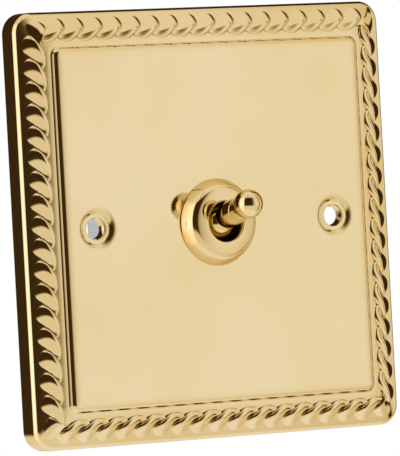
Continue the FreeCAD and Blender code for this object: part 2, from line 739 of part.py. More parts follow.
def padded(label, role, points, width):
    """A body of even width across one of its own planes, from the outline's points."""
    body = doc.addObject("PartDesign::Body", label)
    sketch = body.newObject("Sketcher::SketchObject", label + "Outline")
    plane = [f for f in body.Origin.OriginFeatures if f.Role == role][0]
    sketch.AttachmentSupport = [(plane, "")]
    sketch.MapMode = "FlatFace"
    places = [Vector(size(p[0]), size(p[1]), 0) for p in points]
    for i, place in enumerate(places):
        sketch.addGeometry(Part.LineSegment(places[i - 1], place))
    for i, point in enumerate(points):
        sketch.addConstraint(Sketcher.Constraint("Coincident", i, 2, (i + 1) % len(points), 1))
        across = sketch.addConstraint(Sketcher.Constraint("DistanceX", -1, 1, i, 2, places[i].x))
        sketch.setExpression("Constraints[%d]" % across, bound(point[0]))
        along = sketch.addConstraint(Sketcher.Constraint("DistanceY", -1, 1, i, 2, places[i].y))
        sketch.setExpression("Constraints[%d]" % along, bound(point[1]))
    pad = body.newObject("PartDesign::Pad", label + "Pad")
    pad.Profile = sketch
    pad.Midplane = True
    bind(pad, Length=width)
    return body


# Rocker: a shallow V with its edge at the origin and its arms leaning to the front
armEnd = ("-rockerReach * sin(armLean)", "rockerReach * cos(armLean)")
armFront = (armEnd[0] + " - rockerWall * cos(armLean)", armEnd[1] + " - rockerWall * sin(armLean)")
rockerBlank = padded(
    "rockerBlank",
    "YZ_Plane",
    [
        ("0", "0"),
        (armEnd[0], "-(%s)" % armEnd[1]),
        (armFront[0], "-(%s)" % armFront[1]),
        ("-rockerWall / cos(armLean)", "0"),
        armFront,
        armEnd,
    ],
    "rockerWidth",
)
contact = turned(
    "contactBlank",
    [
        ("0", "-rockerWall"),
        ("contactStem / 2", "-rockerWall"),
        ("contactStem / 2", "0"),
        ("contactSide / 2", "0"),
        ("contactSide / 2", "contactDepth / 2"),
        ("contactSide / 2 - contactDepth / 2", "contactDepth", "-contactDepth / 2"),
        ("0", "contactDepth"),
    ],
)
stemHole = rod("stemHole", "y", "contactStem / 2", "4 * rockerWall", y="-2 * rockerWall")
doc.recompute()


def placed(label, source, places):
    """Copies of a piece at several places, as separate solids."""
    thing = doc.addObject("Part::Feature", label)
    thing.Shape = Part.makeCompound([source.Shape.transformed(p.toMatrix()) for p in places])
    return thing


armPlaces = []
for sign in (-1, 1):
    arm = math.radians(size("armLean"))
    reach = size("contactReach")
    armPlaces.append(
        Placement(
            Vector(0, -reach * math.sin(arm), sign * reach * math.cos(arm)),
            Rotation(Vector(1, 0, 0), sign * size("armLean")),
        )
    )
rocker = without("rocker", rockerBlank, placed("rockerHoles", stemHole, armPlaces))
rockerContacts = placed("rocker_contacts", contact, armPlaces)
tilt = Placement(Vector(0, size("rockerPivot"), 0), Rotation(Vector(1, 0, 0), size("rockerTilt")))
for thing in (rocker, rockerContacts):
    thing.Placement = tilt

# Fixed contacts face the rocker's, each riveted to its own terminal
closed = "armLean - rockerTilt"
faceY = "rockerPivot - contactReach * sin(%s) + contactDepth * cos(%s) + contactGap" % (closed, closed)
faceZ = "contactReach * cos(%s) + contactDepth * sin(%s)" % (closed, closed)
footFront = faceY + " + contactDepth"
footBack = footFront + " + stripWall"
fixedPlaces = [
    Placement(Vector(0, size(footFront), sign * size(faceZ)), Rotation(Vector(1, 0, 0), 180))
    for sign in (-1, 1)
]
fixedContacts = placed("fixed_contacts", contact, fixedPlaces)
blockBackY = "blockStart + blockDepth"
wireY = "blockStart + wirePlace"
halfBlock = ("-blockWidth / 2", "blockWidth / 2")
halfStrip = ("-stripWidth / 2", "stripWidth / 2")


def span(sign, low, high):
    """A stretch along Z above the middle, or its mirror image below."""
    return (low, high) if sign > 0 else ("-(%s)" % high, "-(%s)" % low)


blockPitch = "(moduleTall / 2 - endWall - blockHeight / 2)"


def row(sign):
    """The height of a row of terminals: the lower, the common or the upper."""
    return ("-" + blockPitch, "0", blockPitch)[sign + 1]


def grown(ends, play):
    return "%s - %s" % (ends[0], play), "%s + %s" % (ends[1], play)


def blockSpan(sign):
    return "%s - blockHeight / 2" % row(sign), "%s + blockHeight / 2" % row(sign)


legIn = faceZ + " + contactSide / 2 + stripWall / 2"
legOut = legIn + " + stripWall"


def terminal(label, sign):
    """A brass block with its contact strip, bored for the screw and the wire."""
    block = box(label + "Block", halfBlock, ("blockStart", blockBackY), blockSpan(sign))
    if sign:
        foot = span(sign, faceZ + " - contactSide / 2", legOut)
        strips = [
            box(label + "Foot", halfStrip, (footFront, footBack), foot),
            box(label + "Leg", halfStrip, (footFront, "blockStart"), span(sign, legIn, legOut)),
        ]
    else:
        edge = "rockerPivot + edgeGap"
        post = ("-stripWall / 2", "stripWall / 2")
        strips = [box(label + "Post", halfStrip, (edge, "blockStart"), post)]
    tap = rod(label + "Tap", "y", "screwSide / 2 + screwPlay", "blockDepth", "0", wireY, row(sign))
    wire = rod(
        label + "Wire", "x", "wireHole / 2", "2 * blockWidth", "-blockWidth / 2 + stripWall", wireY, row(sign)
    )
    tools = [tap, wire]
    if sign:
        tools.append(placed(label + "RivetHole", stemHole, [fixedPlaces[(sign + 1) // 2]]))
    return without(label, joined(label + "Blank", block, *strips), *tools)


commonTerminal = terminal("common_terminal", 0)
upperTerminal = terminal("upper_terminal", 1)
lowerTerminal = terminal("lower_terminal", -1)
screws = [
    screw("%sScrew" % name, blockBackY, z=row(sign))
    for name, sign in (("common", 0), ("upper", 1), ("lower", -1))
]
terminalScrews = group("terminal_screws", *screws)

# Housing: moulded round the switching chamber, with a pocket behind it for each terminal
housingBlank = box("housingBlank", wide, (guardBack, "moduleBack"), tall)
housingRound = rounded("housingCorners", housingBlank, alongY, "moduleRound")
housingRound = rounded("housingRound", housingRound, inPlane("moduleBack"), "moduleRound")
hollows = [
    box(
        "chamber",
        ("-chamberHalf", "chamberHalf"),
        (yokeBack, "chamberDepth"),
        ("-chamberTall / 2", "chamberTall / 2"),
    )
]
for name, sign in (("common", 0), ("upper", 1), ("lower", -1)):
    slit = span(sign, legIn, legOut) if sign else ("-stripWall / 2", "stripWall / 2")
    hollows += [
        box(
            name + "Pocket",
            grown(halfBlock, "pocketPlay"),
            ("blockStart - pocketPlay", "moduleBack + moduleRound"),
            grown(blockSpan(sign), "pocketPlay"),
        ),
        box(
            name + "Slit",
            grown(halfStrip, "pocketPlay"),
            ("chamberDepth - stripWall", "blockStart"),
            grown(slit, "pocketPlay"),
        ),
        rod(name + "Entry", "x", "wireHole / 2 + pocketPlay", "moduleHalf", "0", wireY, row(sign)),
    ]
housing = without("housing", housingRound, *hollows, *rivetWays["housing"])

nodes = [
    faceplate,
    rose,
    bush,
    lockWasher,
    locknut,
    earthTag,
    earthBlock,
    earthScrew,
    yoke,
    yokeRivets,
    guard,
    dolly,
    pivotPin,
    plunger,
    plungerSpring,
    rocker,
    rockerContacts,
    fixedContacts,
    commonTerminal,
    upperTerminal,
    lowerTerminal,
    terminalScrews,
    housing,
]

doc.recompute()
for thing in doc.Objects:
    if {"Invalid", "Error"} & set(thing.State):
        raise RuntimeError("%s did not build: %s" % (thing.Label, thing.State))
for node in nodes:
    if node.Shape.isNull() or not node.Shape.isValid() or not node.Shape.Solids:
        raise RuntimeError("%s is not a valid solid" % node.Label)

os.makedirs("parts", exist_ok=True)
for node in nodes:
    node.Shape.exportStep("parts/%s.step" % node.Label)
    print("%-18s %2d solids  %9.2f mm3" % (node.Label, len(node.Shape.Solids), node.Shape.Volume))
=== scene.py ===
import math
import bmesh
import bpy
from mathutils import Matrix, Vector


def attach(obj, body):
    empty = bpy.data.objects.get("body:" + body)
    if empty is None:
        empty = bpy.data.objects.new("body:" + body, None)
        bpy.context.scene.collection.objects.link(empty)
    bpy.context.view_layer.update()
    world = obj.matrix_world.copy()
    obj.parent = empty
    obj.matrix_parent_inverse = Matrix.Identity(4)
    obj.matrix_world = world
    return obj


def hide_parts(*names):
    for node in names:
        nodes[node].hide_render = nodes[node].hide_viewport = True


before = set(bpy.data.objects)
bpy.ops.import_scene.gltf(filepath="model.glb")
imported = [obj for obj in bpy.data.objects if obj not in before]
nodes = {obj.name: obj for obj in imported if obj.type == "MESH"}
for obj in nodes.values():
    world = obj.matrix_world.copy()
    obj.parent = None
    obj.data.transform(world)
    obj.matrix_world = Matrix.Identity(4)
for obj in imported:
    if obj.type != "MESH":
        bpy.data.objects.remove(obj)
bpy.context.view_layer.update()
mm = 0.001
weld = 1e-7  # vertices closer than this, in metres, are one
toFront = Matrix.Rotation(math.radians(90), 4, "X")  # pieces are drawn with +Z to the front, which is -Y
print("frame loaded")


# Small helpers

def hexColour(text):
    # sRGB hex to the linear values that the shaders take
    values = [int(text[i:i + 2], 16) / 255 for i in (1, 3, 5)]
    return [v / 12.92 if v <= 0.04045 else ((v + 0.055) / 1.055) ** 2.4 for v in values] + [1.0]


def grey(value):
    return [value, value, value, 1.0]


def addNode(tree, kind, links=None, **settings):
    # one node, with its inputs set or linked by name or number and its properties set by name
    made = tree.nodes.new(kind)
    for name, value in settings.items():
        setattr(made, name, value)
    for name, value in (links or {}).items():
        if isinstance(value, bpy.types.NodeSocket):
            tree.links.new(value, made.inputs[name])
        else:
            made.inputs[name].default_value = value
    return made


def newMaterial(name):
    material = bpy.data.materials.new(name)
    material.use_nodes = True
    tree = material.node_tree
    tree.nodes.clear()
    shader = tree.nodes.new("ShaderNodeBsdfPrincipled")
    out = tree.nodes.new("ShaderNodeOutputMaterial")
    tree.links.new(shader.outputs[0], out.inputs[0])
    return material, tree, shader


def setSockets(shader, **values):
    for name, value in values.items():
        shader.inputs[name.replace("_", " ")].default_value = value


def ramp(tree, fac, stops):
    made = addNode(tree, "ShaderNodeValToRGB", {"Fac": fac})
    while len(made.color_ramp.elements) < len(stops):
        made.color_ramp.elements.new(0.5)
    for element, (place, colour) in zip(made.color_ramp.elements, stops):
        element.position = place
        element.color = colour if len(colour) == 4 else list(colour) + [1.0]
    return made.outputs[0]


# Materials

def metalMaterial(name, base, dull, roughness, wear, grain):
    # a bare metal: colour drifts softly between base and dull, and the polish is uneven
    material, tree, shader = newMaterial(name)
    setSockets(shader, Metallic=1.0)
    place = tree.nodes.new("ShaderNodeTexCoord").outputs["Object"]
    # clouds 15 mm across are the slow tarnish
    clouds = addNode(tree, "ShaderNodeTexNoise", {
        "Vector": place, "Scale": 66.0, "Detail": 4.0, "Roughness": 0.6,
    })
    tint = ramp(tree, clouds.outputs["Fac"], [(0.35, hexColour(base)), (0.7, hexColour(dull))])
    tree.links.new(tint, shader.inputs["Base Color"])
    # fine grain, about 1 mm, coarser than real so that it shows
    fine = addNode(tree, "ShaderNodeTexNoise", {
        "Vector": place, "Scale": grain, "Detail": 6.0, "Roughness": 0.65,
    })
    polish = ramp(tree, fine.outputs["Fac"], [(0.3, grey(roughness)), (0.75, grey(roughness + wear))])
    tree.links.new(polish, shader.inputs["Roughness"])
    bump = addNode(tree, "ShaderNodeBump", {
        "Strength": 0.035, "Distance": 0.00004, "Height": fine.outputs["Fac"],
    })
    tree.links.new(bump.outputs[0], shader.inputs["Normal"])
    return material


def brassMaterial():
    # yellow brass, pressed and machine polished: it mirrors the room, a little wavy, with hairlines
    material, tree, shader = newMaterial("polishedBrass")
    setSockets(shader, Metallic=1.0)
    place = tree.nodes.new("ShaderNodeTexCoord").outputs["Object"]
    # clouds 33 mm across, hardly apart in colour
    clouds = addNode(tree, "ShaderNodeTexNoise", {
        "Vector": place, "Scale": 30.0, "Detail": 3.0, "Roughness": 0.5,
    })
    tint = ramp(tree, clouds.outputs["Fac"], [(0.38, hexColour("#E9D5A9")), (0.68, hexColour("#E6CF9B"))])
    tree.links.new(tint, shader.inputs["Base Color"])
    # hairlines of the polishing mop, about 0.1 mm apart and 2.4 mm long across the plate
    stretched = addNode(tree, "ShaderNodeMapping", {
        "Vector": place, "Rotation": (0.0, 0.35, 0.0), "Scale": (1.0, 1.0, 22.0),
    })
    hairs = addNode(tree, "ShaderNodeTexNoise", {
        "Vector": stretched.outputs[0], "Scale": 420.0, "Detail": 5.0, "Roughness": 0.7,
    })
    polish = ramp(tree, hairs.outputs["Fac"], [(0.35, grey(0.035)), (0.8, grey(0.08))])
    tree.links.new(polish, shader.inputs["Roughness"])
    # the sheet is not quite flat after pressing: waves about 12 mm long
    waves = addNode(tree, "ShaderNodeTexNoise", {"Vector": place, "Scale": 85.0, "Detail": 1.0})
    wavy = addNode(tree, "ShaderNodeBump", {
        "Strength": 0.10, "Distance": 0.00006, "Height": waves.outputs["Fac"],
    })
    bump = addNode(tree, "ShaderNodeBump", {
        "Strength": 0.05, "Distance": 0.000006, "Height": hairs.outputs["Fac"], "Normal": wavy.outputs[0],
    })
    tree.links.new(bump.outputs[0], shader.inputs["Normal"])
    return material


def plasticMaterial(name, base, shade, roughness, speck):
    # moulded or pressed sheet: faintly mottled, with a fine orange peel that breaks up the gloss
    material, tree, shader = newMaterial(name)
    setSockets(shader, IOR=1.5)
    place = tree.nodes.new("ShaderNodeTexCoord").outputs["Object"]
    mottle = addNode(tree, "ShaderNodeTexNoise", {
        "Vector": place, "Scale": speck, "Detail": 6.0, "Roughness": 0.7,
    })
    tint = ramp(tree, mottle.outputs["Fac"], [(0.3, hexColour(shade)), (0.7, hexColour(base))])
    tree.links.new(tint, shader.inputs["Base Color"])
    gloss = ramp(tree, mottle.outputs["Fac"], [(0.3, grey(roughness)), (0.7, grey(roughness + 0.12))])
    tree.links.new(gloss, shader.inputs["Roughness"])
    # peel of 0.4 mm
    peel = addNode(tree, "ShaderNodeTexNoise", {"Vector": place, "Scale": 2600.0, "Detail": 2.0})
    bump = addNode(tree, "ShaderNodeBump", {
        "Strength": 0.12, "Distance": 0.00002, "Height": peel.outputs["Fac"],
    })
    tree.links.new(bump.outputs[0], shader.inputs["Normal"])
    return material


polishedBrass = brassMaterial()
turnedBrass = metalMaterial("turnedBrass", "#DDBE7E", "#B89350", 0.16, 0.14, 1500.0)
zincSteel = metalMaterial("zincPlatedSteel", "#C9CCD0", "#A9ACB2", 0.28, 0.16, 900.0)
springSteel = metalMaterial("springSteel", "#B4B5B8", "#8E8F93", 0.18, 0.12, 1500.0)
contactSilver = metalMaterial("contactSilver", "#E4E2DC", "#BDB9AE", 0.24, 0.16, 1800.0)
fibreSheet = plasticMaterial("vulcanisedFibre", "#6E3A2C", "#532A20", 0.55, 900.0)
housingPlastic = plasticMaterial("mouldedHousing", "#EDEEF4", "#E0E2EA", 0.38, 1200.0)

finishes = {
    "bush": turnedBrass,
    "locknut": turnedBrass,
    "lock_washer": zincSteel,
    "earth_tag": turnedBrass,
    "earth_block": turnedBrass,
    "earth_screw": turnedBrass,
    "yoke": zincSteel,
    "yoke_rivets": zincSteel,
    "guard": fibreSheet,
    "pivot_pin": springSteel,
    "plunger": fibreSheet,
    "plunger_spring": springSteel,
    "rocker": turnedBrass,
    "rocker_contacts": contactSilver,
    "fixed_contacts": contactSilver,
    "common_terminal": turnedBrass,
    "upper_terminal": turnedBrass,
    "lower_terminal": turnedBrass,
    "terminal_screws": turnedBrass,
    "housing": housingPlastic,
}
for nodeName, finish in finishes.items():
    nodes[nodeName].data.materials.clear()
    nodes[nodeName].data.materials.append(finish)
print("materials made")


# Shapes

def unique(items):
    # each item once, in a fixed order, so that every run makes the same mesh
    return list(dict.fromkeys(items))


def turnedShape(bm, profile, steps):
    # spins a profile of (radius, height over the axis) about Z and closes it
    made = [bm.verts.new((r * mm, 0, h * mm)) for r, h in profile]
    edges = [bm.edges.new(pair) for pair in zip(made, made[1:])]
    bmesh.ops.spin(
        bm, geom=made + edges, cent=(0, 0, 0), axis=(0, 0, 1), angle=math.tau, steps=steps, use_merge=True,
    )
    bmesh.ops.remove_doubles(bm, verts=bm.verts[:], dist=weld)
    bmesh.ops.recalc_face_normals(bm, faces=bm.faces[:])


def arcPoints(start, end, radius, count):
    # points between start and end on an arc that bulges to the left of the way, or to the right with a
    # negative radius
    a, b = Vector(start), Vector(end)
    chord = b - a
    side = Vector((-chord.y, chord.x)).normalized()
    rise = math.sqrt(max(radius * radius - chord.length_squared / 4, 0))
    centre = (a + b) / 2 - side * math.copysign(rise, radius)
    first = math.atan2(a.y - centre.y, a.x - centre.x)
    sweep = (a - centre).angle_signed(b - centre) * -1
    angles = [first + sweep * i / count for i in range(1, count)]
    return [(centre.x + abs(radius) * math.cos(t), centre.y + abs(radius) * math.sin(t)) for t in angles]


def faceForward(bm):
    # an open sheet's faces look to +Z on the whole
    if sum(f.normal.z * f.calc_area() for f in bm.faces) < 0:
        bmesh.ops.reverse_faces(bm, faces=bm.faces[:])


def newObject(name, bm, material):
    mesh = bpy.data.meshes.new(name)
    bm.to_mesh(mesh)
    bm.free()
    mesh.materials.append(material)
    made = bpy.data.objects.new(name, mesh)
    bpy.context.scene.collection.objects.link(made)
    return made


def finishPiece(name, bm, material, body, standsFor, sharp):
    # edges that turn by more than sharp, in degrees, stay crisp
    piece = newObject(name, bm, material)
    piece.data.shade_smooth()
    piece.data.set_sharp_from_angle(angle=math.radians(sharp))
    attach(piece, body)
    if standsFor:
        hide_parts(standsFor)
    return piece


def applyModifiers(piece):
    # leaves the piece with its final mesh and no live modifiers
    shown = piece.evaluated_get(bpy.context.evaluated_depsgraph_get())
    mesh = bpy.data.meshes.new_from_object(shown)
    piece.modifiers.clear()
    piece.data = mesh


# Plate: pressed brass sheet, seen from the front as a raised field in a sloping band; all lengths are in mm

plate = {
    "half": 46.2, "corner": 4.5, "cornerSteps": 14, "depth": 8.0, "rimDrop": 2.8, "sheet": 0.9, "sharp": 40,
    # the rim from the skirt inwards: each arc's radius, its slopes in degrees and its steps
    "rimArcs": [(0.5, 90, 66, 4), (2.4, 66, 48, 5), (1.0, 48, 20, 8)],
    "ropeInner": 39.9, "innerCorner": 3.15, "marginDrop": 1.0, "marginInner": 38.9,
    # the field's edge: two arcs by radius, then a wide one that eases it to flat from easeSlope degrees
    "fieldHalf": 38.05, "foot": 0.45, "footSteps": 4, "shoulder": 1.3, "shoulderSteps": 7,
    "ease": 14, "easeSlope": 6, "easeSteps": 5, "flat": 0.3,
    "fixing": 30.15, "dish": 4.95, "bushHole": 6.15, "holeSteps": 96,
    # radius and drop below the field: the soft dish, the seat's wall, the flat seat, and the drawn hole
    "holeRings": [
        (4.8, 0), (4.7, 0.008), (4.45, 0.035), (4.2, 0.085), (3.95, 0.16), (3.7, 0.255), (3.5, 0.345),
        (3.32, 0.43), (3.26, 0.45), (3.24, 0.47), (3.22, 0.62), (3.19, 0.65), (2.45, 0.66), (2.36, 0.69),
        (2.32, 0.76), (2.2, 1.1), (2.06, 2.0), (2.05, 2.7),
    ],
}


def roundedOutline(bm, half, corner, height, steps):
    # one face with rounded corners: a square whose corners are bevelled
    made = bmesh.ops.create_grid(bm, x_segments=1, y_segments=1, size=half * mm)["verts"]
    bmesh.ops.translate(bm, verts=made, vec=(0, 0, height * mm))
    bmesh.ops.bevel(
        bm, geom=made, offset=corner * mm, offset_type="OFFSET", affect="VERTICES", segments=steps,
        profile=0.5, material=-1,
    )
    return [f for f in bm.faces if all(abs(v.co.z - height * mm) < 1e-9 for v in f.verts)][0]


def stepFace(bm, face, inwards, upwards):
    # insets a flat face and lifts it, leaving a sloping strip behind
    bmesh.ops.inset_region(bm, faces=[face], thickness=inwards * mm, depth=0, use_even_offset=True)
    bmesh.ops.translate(bm, verts=list(face.verts), vec=(0, 0, upwards * mm))


def shrinkFace(bm, face, inwards, upwards):
    # like stepFace, but the corners shrink with the rest, for steps that go further in than their radius
    half = max(v.co.x for v in face.verts)
    face = bmesh.ops.extrude_discrete_faces(bm, faces=[face])["faces"][0]
    share = 1 - inwards * mm / half
    bmesh.ops.scale(bm, verts=list(face.verts), vec=(share, share, 1))
    bmesh.ops.translate(bm, verts=list(face.verts), vec=(0, 0, upwards * mm))
    return face


def roundSteps(radius, startAngle, endAngle, count):
    # inward and upward steps along an arc whose slope goes from startAngle to endAngle, in degrees
    angles = [math.radians(startAngle + (endAngle - startAngle) * i / count) for i in range(count + 1)]
    return [
        (radius * abs(math.sin(a) - math.sin(b)), radius * abs(math.cos(b) - math.cos(a)))
        for a, b in zip(angles, angles[1:])
    ]


def buildPlate(size):
    outer = bmesh.new()
    face = roundedOutline(outer, size["half"], size["corner"], 0, size["cornerSteps"])
    rimWays = [way for arc in size["rimArcs"] for way in roundSteps(*arc)]
    lift = size["depth"] - size["rimDrop"] - sum(up for _, up in rimWays)
    grown = bmesh.ops.extrude_face_region(outer, geom=[face])["geom"]
    outer.faces.remove(face)
    top = [g for g in grown if isinstance(g, bmesh.types.BMFace)][0]
    bmesh.ops.translate(outer, verts=list(top.verts), vec=(0, 0, lift * mm))
    for inwards, upwards in rimWays:
        stepFace(outer, top, inwards, upwards)
    outer.faces.remove(top)

    # the band that carries the rope joins the rim's upper loop to the margin
    level = size["depth"] - size["marginDrop"]
    field = roundedOutline(outer, size["ropeInner"], size["innerCorner"], level, size["cornerSteps"])
    skirtTop = (lift + 0.1) * mm
    loop = [
        e for e in outer.edges
        if e.is_boundary and e.verts[0].co.z > skirtTop and e not in field.edges[:]
    ]
    bmesh.ops.bridge_loops(outer, edges=loop + field.edges[:])
    stepFace(outer, field, size["ropeInner"] - size["marginInner"], 0)
    slope = math.degrees(math.atan2(size["marginDrop"], size["marginInner"] - size["fieldHalf"]))
    foot = roundSteps(size["foot"], 0, slope, size["footSteps"])
    shoulder = roundSteps(size["shoulder"], slope, size["easeSlope"], size["shoulderSteps"])
    ease = roundSteps(size["ease"], size["easeSlope"], 0, size["easeSteps"])
    straight = size["marginDrop"] - sum(up for _, up in foot + shoulder + ease)
    for inwards, upwards in foot + [(straight / math.tan(math.radians(slope)), straight)] + shoulder:
        stepFace(outer, field, inwards, upwards)
    # the last step is flat, so that the field's own normals all point straight forward
    for inwards, upwards in ease + [(size["flat"], 0)]:
        field = shrinkFace(outer, field, inwards, upwards)
    rim = field.edges[:]
    outer.faces.remove(field)

    # holes: the bush's in the middle, and at each side a dish, a seat and a drawn hole
    for x, radius in ((-size["fixing"], size["dish"]), (size["fixing"], size["dish"]), (0, size["bushHole"])):
        circle = bmesh.ops.create_circle(
            outer, cap_ends=False, radius=radius * mm, segments=size["holeSteps"],
        )["verts"]
        bmesh.ops.translate(outer, verts=circle, vec=(x * mm, 0, size["depth"] * mm))
        rim += unique(e for v in circle for e in v.link_edges)
    bmesh.ops.triangle_fill(outer, use_beauty=True, use_dissolve=False, edges=rim, normal=(0, 0, 1))
    longest = math.tau * size["dish"] / size["holeSteps"] * 2 * mm  # a chord of the dish is half as long
    for x in (-size["fixing"], size["fixing"]):
        centre = Vector((x * mm, 0, size["depth"] * mm))
        edges = [
            e for e in outer.edges
            if e.is_boundary and e.calc_length() < longest
            and all(abs((v.co - centre).length - size["dish"] * mm) < 1e-6 for v in e.verts)
        ]
        last, drop = size["dish"], 0
        for radius, depth in size["holeRings"]:
            made = bmesh.ops.extrude_edge_only(outer, edges=edges)["geom"]
            verts = [g for g in made if isinstance(g, bmesh.types.BMVert)]
            edges = [g for g in made if isinstance(g, bmesh.types.BMEdge)]
            share = radius / last
            bmesh.ops.scale(outer, verts=verts, vec=(share, share, 1), space=Matrix.Translation(-centre))
            bmesh.ops.translate(outer, verts=verts, vec=(0, 0, (drop - depth) * mm))
            last, drop = radius, depth
    bmesh.ops.remove_doubles(outer, verts=outer.verts[:], dist=weld)
    bmesh.ops.recalc_face_normals(outer, faces=outer.faces[:])
    faceForward(outer)
    bmesh.ops.transform(outer, matrix=toFront, verts=outer.verts[:])

    # the outside is drawn, and the sheet's thickness goes inwards
    piece = finishPiece(
        "plateSheet", outer, polishedBrass, "switch_body", "faceplate", size["sharp"],
    )
    wall = piece.modifiers.new("sheet", "SOLIDIFY")
    wall.thickness = size["sheet"] * mm
    wall.offset = -1
    wall.use_even_offset = True
    applyModifiers(piece)
    piece.data.set_sharp_from_angle(angle=math.radians(size["sharp"]))
    return piece


plateSheet = buildPlate(plate)
print("plate made", len(plateSheet.data.polygons), "faces")


# Rope: a pillow for each strand, between two leaning creases

rope = {
    "count": 17, "run": 40.1, "middle": 42.4, "outerReach": 2.6, "innerReach": 2.6, "notch": 1.3,
    "lean": (1.4, 1.3, 1.5, 1.3),  # for each side, clockwise from the top
    "bow": 0.85, "cornerBulge": 2.7, "cornerTuck": 0.35,
    # relief: the height at the creases and at the crest, which the skew moves along the rope
    "crease": 0.2, "crest": 1.22, "skew": 1.5, "sunk": 0.35,
    # how quickly the crest falls: lower is fuller; along the rope, towards the margin and towards the rim
    "alongPower": 0.8, "innerPower": 0.7, "outerPower": 1.0,
    "across": 16, "along": 14, "sharp": 60,
}


def ropePoint(size, side, place, across):
    # a point of a crease in plan, in mm: place runs clockwise along the side
    a = place + size["lean"][side % 4] * across + size["bow"] * (1 - across * across)
    b = size["middle"] + size["notch"] * across
    turn = math.radians(-90 * side)
    return Vector((a * math.cos(turn) - b * math.sin(turn), a * math.sin(turn) + b * math.cos(turn)))


def swell(share, power=0.6):
    # 0 at both ends, 1 in the middle, round like a pillow
    return max(1 - (2 * share - 1) ** 2, 0) ** power


def spread(share):
    # packs the rows towards both edges, where the pillow is steep
    return 0.5 - 0.5 * math.cos(math.pi * share)


def addStrand(bm, size, first, last, outerBulge, innerBulge):
    # first and last are the two creases, each as (side, place)
    way = Vector((0, 0))
    for side in (first[0], last[0]):
        turn = math.radians(-90 * side)
        way += Vector((-math.sin(turn), math.cos(turn)))
    way.normalize()
    made = bmesh.ops.create_grid(bm, x_segments=size["along"], y_segments=size["across"], size=0.5)["verts"]
    for v in made:
        s, t = spread(min(max(v.co.x + 0.5, 0), 1)), spread(min(max(v.co.y + 0.5, 0), 1))
        across = 2 * t - 1
        point = ropePoint(size, *first, across) * (1 - s) + ropePoint(size, *last, across) * s
        bulge = outerBulge if across > 0 else innerBulge
        point += way * (bulge * across * abs(across) * swell(s))
        crestAlong = swell(s ** size["skew"], size["alongPower"])
        crestAcross = swell(t, size["innerPower"] if t < 0.5 else size["outerPower"])
        height = size["crease"] * swell(t) + (size["crest"] - size["crease"]) * crestAlong * crestAcross
        level = plate["depth"] - plate["rimDrop"] * t - plate["marginDrop"] * (1 - t)
        v.co = (point.x * mm, point.y * mm, (level + height) * mm)
    # a short skirt takes the strand's edge down into the band
    faces = unique(f for v in made for f in v.link_faces)
    edge = unique(e for f in faces for e in f.edges if e.is_boundary)
    lowered = bmesh.ops.extrude_edge_only(bm, edges=edge)["geom"]
    down = [g for g in lowered if isinstance(g, bmesh.types.BMVert)]
    bmesh.ops.translate(bm, verts=down, vec=(0, 0, -size["sunk"] * mm))


def buildRope(size):
    bm = bmesh.new()
    run = size["run"]
    pitch = 2 * run / size["count"]
    outerBulge = size["outerReach"] - size["notch"]
    innerBulge = size["innerReach"] - size["notch"]
    for side in range(4):
        for i in range(size["count"]):
            start = -run + pitch * i
            addStrand(bm, size, (side, start), (side, start + pitch), outerBulge, innerBulge)
        addStrand(bm, size, (side, run), (side + 1, -run), size["cornerBulge"], size["cornerTuck"])
    faceForward(bm)
    bmesh.ops.transform(bm, matrix=toFront, verts=bm.verts[:])
    return finishPiece(
        "ropeStrands", bm, polishedBrass, "switch_body", None, size["sharp"],
    )


ropeStrands = buildRope(rope)
print("rope made", len(ropeStrands.data.polygons), "faces")


# Rose and dolly, turned

roseSize = {
    "bore": 6.03, "radius": 9.35, "edge": 0.1, "chamfer": 0.05,
    # three arcs from the foot inwards: the flank, the turn and the dome, and the rounded lip of the hole
    "flank": 12.0, "flankRun": 1.15, "flankRise": 2.3, "flankSteps": 12,
    "turn": 2.08, "turnRun": 1.2, "turnRise": 0.88, "turnSteps": 12,
    "dome": 22.0, "height": 3.6, "domeSteps": 10,
    "hole": 4.3, "lip": 0.35, "lipDepth": 1.0, "lipSteps": 6, "steps": 160, "sharp": 28,
}


def buildRose(size):
    edgeTop = (size["radius"], size["edge"])
    flankTop = (size["radius"] - size["flankRun"], size["edge"] + size["flankRise"])
    turnTop = (flankTop[0] - size["turnRun"], flankTop[1] + size["turnRise"])
    lipTop = (size["hole"] + size["lip"], size["height"])
    lipSide = (size["hole"], size["height"] - size["lip"])
    shelf = size["height"] - size["lipDepth"]
    profile = [
        (size["bore"], 0), (size["radius"] - size["chamfer"], 0), (size["radius"], size["chamfer"]), edgeTop,
    ]
    profile += arcPoints(edgeTop, flankTop, -size["flank"], size["flankSteps"]) + [flankTop]
    profile += arcPoints(flankTop, turnTop, -size["turn"], size["turnSteps"]) + [turnTop]
    profile += arcPoints(turnTop, lipTop, -size["dome"], size["domeSteps"]) + [lipTop]
    profile += arcPoints(lipTop, lipSide, -size["lip"], size["lipSteps"]) + [lipSide]
    profile += [(size["hole"], shelf), (size["bore"], shelf), (size["bore"], 0)]
    bm = bmesh.new()
    turnedShape(bm, profile, size["steps"])
    place = Matrix.Translation((0, -plate["depth"] * mm, 0)) @ toFront
    bmesh.ops.transform(bm, matrix=place, verts=bm.verts[:])
    return finishPiece(
        "roseTurned", bm, polishedBrass, "switch_body", "rose", size["sharp"],
    )


dollySize = {
    "pivotDrop": 0.5, "tilt": 15.2, "steps": 96, "sharp": 28,
    # heights are measured from the pivot towards the ball end
    "ballCentre": 13.5, "ball": 3.122, "ballSteps": 40, "groove": 2.15, "grooveWidth": 0.3,
    "tip": 2.6, "chamfer": 0.06, "lip": 2.85, "lipStart": 6.9, "lipRound": 0.35, "lipSteps": 6,
    "root": 2.55, "rootStart": 4.1, "neck": 2.1, "pivotBall": 3.9, "pivotSteps": 24,
    "stem": 2.2, "stemEnd": 8.0, "bore": 1.45, "boreStart": 2.6,
}


